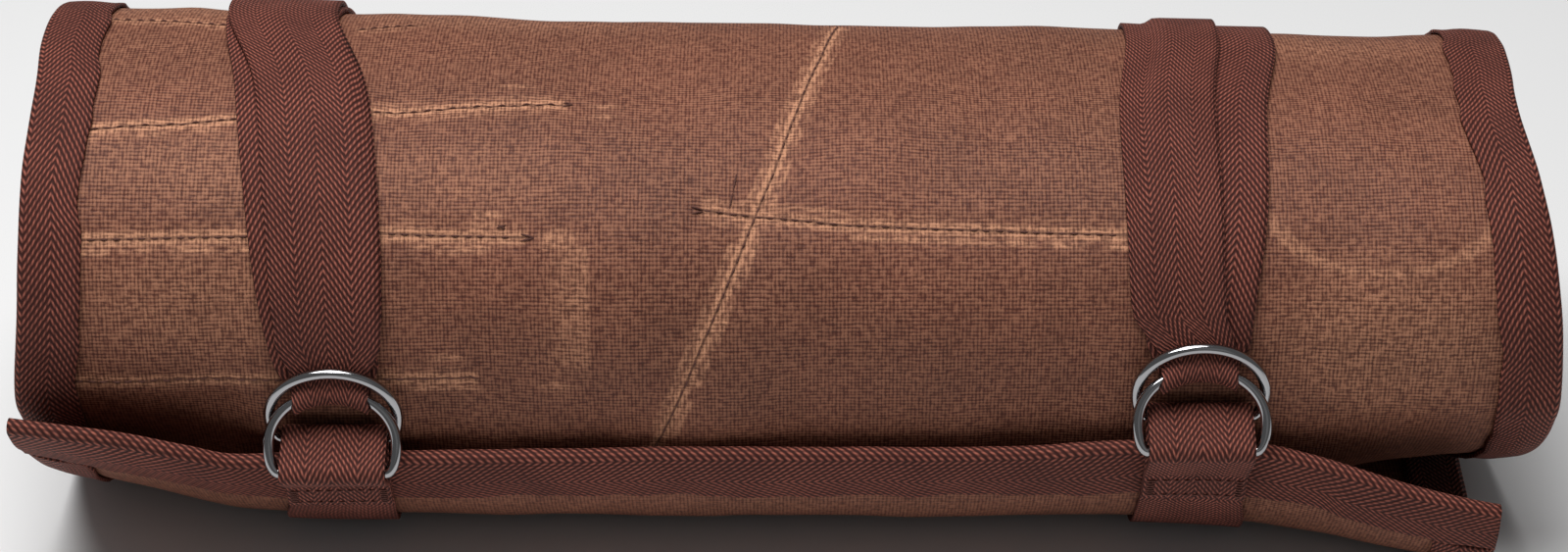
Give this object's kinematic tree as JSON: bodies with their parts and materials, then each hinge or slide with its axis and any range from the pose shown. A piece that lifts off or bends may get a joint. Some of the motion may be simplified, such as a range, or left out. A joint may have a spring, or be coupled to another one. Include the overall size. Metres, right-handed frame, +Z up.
{
  "type": "wrench roll",
  "caption": "Rolled tool roll of waxed canvas with tape-bound edges, pocket panels inside, and webbing straps threaded through pairs of chrome D-rings, lying on its side.",
  "frame": {"origin": "middle of the bounding box in X and Y, on the surface it rests on", "axes": "+X along the roll to its right end, +Y to the back, +Z up; the straps' rings face -Y"},
  "size_m": [0.349, 0.1375, 0.1164],
  "materials": {
    "waxed_canvas": "waxed cotton canvas, brown, rubbed lighter along seams and folds",
    "canvas_inside": "the same canvas inside, duller",
    "herringbone_tape": "herringbone cotton tape, dark red-brown",
    "herringbone_webbing": "herringbone webbing, dark red-brown",
    "chromed_steel": "polished chrome on bent steel wire"
  },
  "bodies": {
    "root": {"canvas_sheet": "waxed_canvas", "binding_left": "herringbone_tape", "binding_right": "herringbone_tape", "binding_flap": "herringbone_tape", "pocket_panel_left": "canvas_inside", "pocket_panel_right": "canvas_inside", "strap_left": "herringbone_webbing", "strap_right": "herringbone_webbing", "d_ring_left_front": "chromed_steel", "d_ring_left_back": "chromed_steel", "d_ring_right_front": "chromed_steel", "d_ring_right_back": "chromed_steel"}
  },
  "joints": []
}
